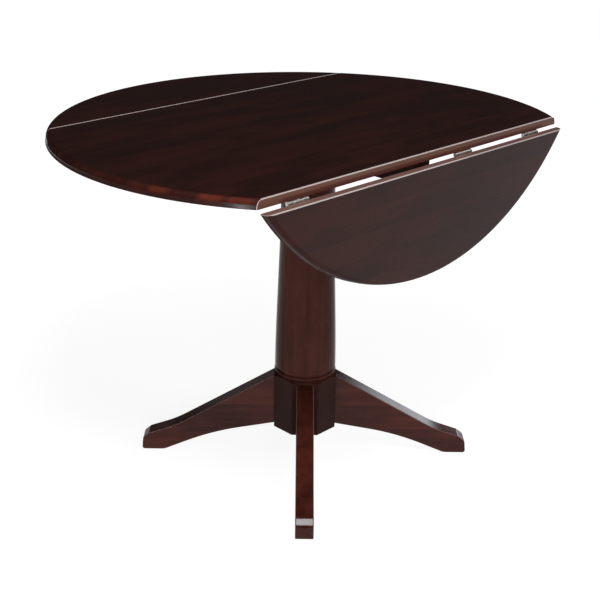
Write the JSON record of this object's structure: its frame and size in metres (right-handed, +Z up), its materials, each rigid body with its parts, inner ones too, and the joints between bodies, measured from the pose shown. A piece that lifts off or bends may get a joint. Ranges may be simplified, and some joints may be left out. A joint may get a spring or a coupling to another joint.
{
  "type": "round drop-leaf pedestal table",
  "caption": "Round dining table with a fixed centre panel, hinged half-moon leaves on folding stays, a turned column and curved legs on an octagonal hub.",
  "frame": {"origin": "on the floor, under the column's axis", "axes": "+Z up; hinge lines along Y; the hanging leaf is on +X and the raised leaf on -X"},
  "size_m": [0.8653, 1.0666, 0.767],
  "materials": {
    "top_wood": "dark brown stain, satin lacquer",
    "pedestal_wood": "dark red-brown stain, satin lacquer",
    "frame_wood": "dark stain, matt",
    "hinge_steel": "zinc-plated steel",
    "fastener_steel": "zinc-plated steel",
    "glide_plastic": "matt dark plastic"
  },
  "bodies": {
    "table": {"back_leg": "pedestal_wood", "bearer_screws": "fastener_steel", "centre_panel": "top_wood", "cross_bearer": "frame_wood", "foot_glides": "glide_plastic", "front_leg": "pedestal_wood", "left_hinge_1_panel_plate": "hinge_steel", "left_hinge_1_pin": "hinge_steel", "left_hinge_2_panel_plate": "hinge_steel", "left_hinge_2_pin": "hinge_steel", "left_hinge_3_panel_plate": "hinge_steel", "left_hinge_3_pin": "hinge_steel", "left_hinge_panel_screws": "fastener_steel", "left_leg": "pedestal_wood", "left_stay_bolt": "fastener_steel", "left_stay_wing_nut": "fastener_steel", "leg_hanger_bolts": "fastener_steel", "leg_nuts": "fastener_steel", "leg_washers": "fastener_steel", "long_bearer": "frame_wood", "mounting_plate": "frame_wood", "pedestal_column": "pedestal_wood", "plate_bearer_screws": "fastener_steel", "plate_column_screws": "fastener_steel", "right_hinge_1_panel_plate": "hinge_steel", "right_hinge_1_pin": "hinge_steel", "right_hinge_2_panel_plate": "hinge_steel", "right_hinge_2_pin": "hinge_steel", "right_hinge_3_panel_plate": "hinge_steel", "right_hinge_3_pin": "hinge_steel", "right_hinge_panel_screws": "fastener_steel", "right_leg": "pedestal_wood", "right_stay_bolt": "fastener_steel", "right_stay_wing_nut": "fastener_steel", "stay_washers": "fastener_steel"},
    "right_leaf": {"right_hinge_1_leaf_plate": "hinge_steel", "right_hinge_2_leaf_plate": "hinge_steel", "right_hinge_3_leaf_plate": "hinge_steel", "right_hinge_leaf_screws": "fastener_steel", "right_keeper": "frame_wood", "right_keeper_screws": "fastener_steel", "right_leaf": "top_wood"},
    "left_leaf": {"left_hinge_1_leaf_plate": "hinge_steel", "left_hinge_2_leaf_plate": "hinge_steel", "left_hinge_3_leaf_plate": "hinge_steel", "left_hinge_leaf_screws": "fastener_steel", "left_keeper": "frame_wood", "left_keeper_screws": "fastener_steel", "left_leaf": "top_wood"},
    "right_stay": {"right_stay_arm": "frame_wood"},
    "left_stay": {"left_stay_arm": "frame_wood"}
  },
  "joints": [
    {"name": "right_leaf_hinge", "type": "hinge", "parent": "table", "child": "right_leaf", "pos_m": [0.3095, 0, 0.7446], "axis": [0, -1, 0], "range_deg": [0, 90]},
    {"name": "left_leaf_hinge", "type": "hinge", "parent": "table", "child": "left_leaf", "pos_m": [-0.3095, 0, 0.7446], "axis": [0, -1, 0], "range_deg": [0, 90]},
    {"name": "right_stay_pivot", "type": "hinge", "parent": "table", "child": "right_stay", "pos_m": [0.29, 0, 0.7251], "axis": [0, -1, 0], "range_deg": [0, 90]},
    {"name": "left_stay_pivot", "type": "hinge", "parent": "table", "child": "left_stay", "pos_m": [-0.29, 0, 0.7251], "axis": [0, -1, 0], "range_deg": [0, 90]}
  ],
  "couplings": [
    {"joint": "right_stay_pivot", "follows": "right_leaf_hinge", "ratio": 1},
    {"joint": "left_stay_pivot", "follows": "left_leaf_hinge", "ratio": 1}
  ]
}
